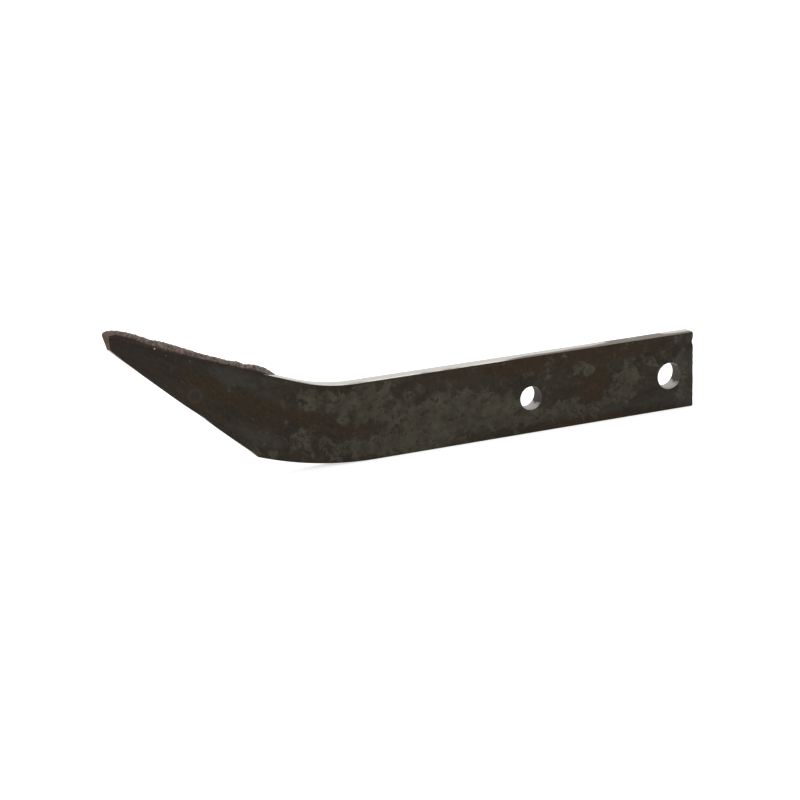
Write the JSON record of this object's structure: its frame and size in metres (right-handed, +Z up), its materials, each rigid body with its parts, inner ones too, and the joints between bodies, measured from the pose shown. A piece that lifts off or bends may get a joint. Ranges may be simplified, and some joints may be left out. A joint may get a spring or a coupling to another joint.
{
  "type": "ridger tine",
  "caption": "Flat steel bar tine, bent on edge to a cropped point with a weld-faced leading edge and a drilled shank for bolting to a ridger frame.",
  "frame": {"origin": "centre of the end bolt hole, in the middle of the bar's thickness", "axes": "+X along the shank towards the holed end, with the point at -X; +Y through the thickness, away from the viewer in the picture; +Z up, towards the hollow leading edge"},
  "size_m": [0.3956, 0.01, 0.102],
  "materials": {
    "mill_scaled_steel": "hot rolled bar with dark brown and grey mill scale, bare and brighter on its narrow edges",
    "hardfacing_weld": "rough rippled weld deposit, dull grey brown"
  },
  "bodies": {
    "root": {"tine_bar": "mill_scaled_steel", "hardfacing_bead": "hardfacing_weld"}
  },
  "joints": []
}
